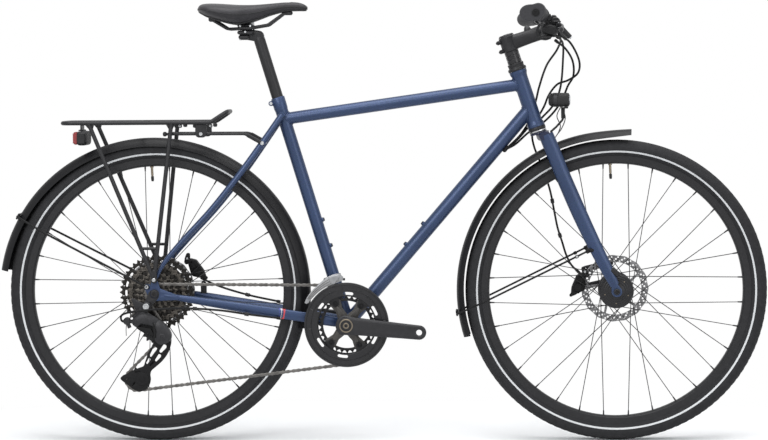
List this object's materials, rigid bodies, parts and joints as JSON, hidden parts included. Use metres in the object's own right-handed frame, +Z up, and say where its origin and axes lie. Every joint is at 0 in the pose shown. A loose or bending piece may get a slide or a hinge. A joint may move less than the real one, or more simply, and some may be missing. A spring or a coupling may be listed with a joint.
{
  "type": "touring bicycle",
  "caption": "Touring bicycle with a diamond frame, flat-rise handlebar, spoked wheels, disc brakes, full fenders, a rear rack, lights and a derailleur drive.",
  "frame": {"origin": "on the ground, midway between the rear fender's tip and the front tyre's front, in the middle plane", "axes": "+X towards the front, +Y to the rider's left, +Z up"},
  "size_m": [1.8206, 0.61, 1.0413],
  "materials": {
    "frame_paint": "satin metallic",
    "black_alloy": "satin",
    "tyre_rubber": "matt",
    "rubber": "matt",
    "plastic": "matt",
    "silver_alloy": "polished",
    "dark_steel": "dark oiled",
    "chain_steel": "oiled",
    "crank_alloy": "dark anodised",
    "red_lens": "gloss"
  },
  "bodies": {
    "frame": {"head_tube": "frame_paint", "top_tube": "frame_paint", "down_tube": "frame_paint", "seat_tube": "frame_paint", "bottom_bracket_shell": "frame_paint", "chainstay_right": "frame_paint", "chainstay_left": "frame_paint", "seatstay_right": "frame_paint", "seatstay_left": "frame_paint", "rear_axle": "silver_alloy", "rear_fender": "black_alloy", "rear_fender_stay": "silver_alloy", "rack_platform": "black_alloy", "rack_legs_right": "black_alloy", "rack_legs_left": "black_alloy", "tail_light": "red_lens", "rear_brake_caliper": "black_alloy", "front_derailleur": "silver_alloy", "chain": "chain_steel", "rear_derailleur": "black_alloy", "control_cables": "rubber", "rear_brake_hose": "rubber", "rear_shift_housing": "rubber"},
    "seat": {"seat_post": "black_alloy", "saddle_rails": "black_alloy", "saddle": "rubber"},
    "steering": {"fork_steerer": "frame_paint", "fork_blade_right": "frame_paint", "fork_blade_left": "frame_paint", "stem": "black_alloy", "handlebar": "black_alloy", "grip_right": "rubber", "grip_left": "rubber", "brake_perch_right": "black_alloy", "brake_perch_left": "black_alloy", "front_fender": "black_alloy", "front_fender_stay": "plastic", "headlight_bracket": "black_alloy", "front_axle": "silver_alloy", "front_brake_caliper": "black_alloy", "front_brake_hose": "rubber"},
    "headlight": {"headlight": "black_alloy"},
    "front_wheel": {"front_tyre": "tyre_rubber", "front_rim": "black_alloy", "front_hub": "black_alloy"},
    "rear_wheel": {"rear_tyre": "tyre_rubber", "rear_rim": "black_alloy", "rear_hub": "black_alloy"},
    "cassette": {"cassette": "dark_steel"},
    "crankset": {"crank_right": "crank_alloy", "crank_left": "crank_alloy", "chainring_large": "dark_steel", "chain_guard": "plastic"},
    "cage": {"derailleur_cage": "black_alloy"},
    "guide_pulley": {"guide_pulley": "plastic"},
    "tension_pulley": {"tension_pulley": "plastic"},
    "brake_lever_right": {"brake_lever_right": "crank_alloy"},
    "brake_lever_left": {"brake_lever_left": "crank_alloy"},
    "shift_lever_right": {"shift_lever_right": "plastic"},
    "shift_lever_left": {"shift_lever_left": "plastic"}
  },
  "joints": [
    {"name": "steering_turn", "type": "hinge", "parent": "frame", "child": "steering", "pos_m": [0.50213, 0, 0.33873], "axis": [-0.314, 0, 0.9494], "range_deg": [-60, 60], "deforming": ["control_cables"]},
    {"name": "seat_height", "type": "slide", "parent": "frame", "child": "seat", "axis": [-0.2907, 0, 0.9568], "range_m": [-0.1, 0.04]},
    {"name": "headlight_tilt", "type": "hinge", "parent": "steering", "child": "headlight", "pos_m": [0.431, 0, 0.78875], "axis": [0, 1, 0], "range_deg": [-10, 10]},
    {"name": "front_wheel_spin", "type": "hinge", "parent": "steering", "child": "front_wheel", "pos_m": [0.55435, 0, 0.356], "axis": [0, 1, 0], "continuous": true},
    {"name": "rear_wheel_spin", "type": "hinge", "parent": "frame", "child": "rear_wheel", "pos_m": [-0.53265, 0, 0.356], "axis": [0, 1, 0], "continuous": true},
    {"name": "crank_spin", "type": "hinge", "parent": "frame", "child": "crankset", "pos_m": [-0.081, 0, 0.28], "axis": [0, 1, 0], "continuous": true},
    {"name": "cassette_spin", "type": "hinge", "parent": "frame", "child": "cassette", "pos_m": [-0.53265, 0, 0.356], "axis": [0, 1, 0], "continuous": true},
    {"name": "cage_swing", "type": "hinge", "parent": "frame", "child": "cage", "pos_m": [-0.5137, -0.06, 0.2568], "axis": [0, -1, 0], "range_deg": [0, 25], "stiffness_Nm_per_rad": 0.6, "springref_deg": -34.38, "deforming": ["chain"]},
    {"name": "guide_pulley_spin", "type": "hinge", "parent": "cage", "child": "guide_pulley", "pos_m": [-0.538, -0.06, 0.268], "axis": [0, 1, 0], "continuous": true},
    {"name": "tension_pulley_spin", "type": "hinge", "parent": "cage", "child": "tension_pulley", "pos_m": [-0.5788, -0.06, 0.1521], "axis": [0, 1, 0], "continuous": true},
    {"name": "brake_lever_right_pull", "type": "hinge", "parent": "steering", "child": "brake_lever_right", "pos_m": [0.41627, -0.172, 0.97803], "axis": [0, 0, -1], "range_deg": [0, 18], "stiffness_Nm_per_rad": 1, "springref_deg": -8.59},
    {"name": "shift_lever_right_push", "type": "hinge", "parent": "steering", "child": "shift_lever_right", "pos_m": [0.39627, -0.158, 0.96803], "axis": [0, 0, 1], "range_deg": [0, 15], "stiffness_Nm_per_rad": 0.5, "springref_deg": -5.73},
    {"name": "brake_lever_left_pull", "type": "hinge", "parent": "steering", "child": "brake_lever_left", "pos_m": [0.41627, 0.172, 0.97803], "axis": [0, 0, 1], "range_deg": [0, 18], "stiffness_Nm_per_rad": 1, "springref_deg": -8.59},
    {"name": "shift_lever_left_push", "type": "hinge", "parent": "steering", "child": "shift_lever_left", "pos_m": [0.39627, 0.158, 0.96803], "axis": [0, 0, -1], "range_deg": [0, 15], "stiffness_Nm_per_rad": 0.5, "springref_deg": -5.73}
  ],
  "couplings": [
    {"joint": "cassette_spin", "follows": "crank_spin", "ratio": 4.1818},
    {"joint": "guide_pulley_spin", "follows": "crank_spin", "ratio": -3.5385},
    {"joint": "tension_pulley_spin", "follows": "crank_spin", "ratio": 3.5385}
  ]
}
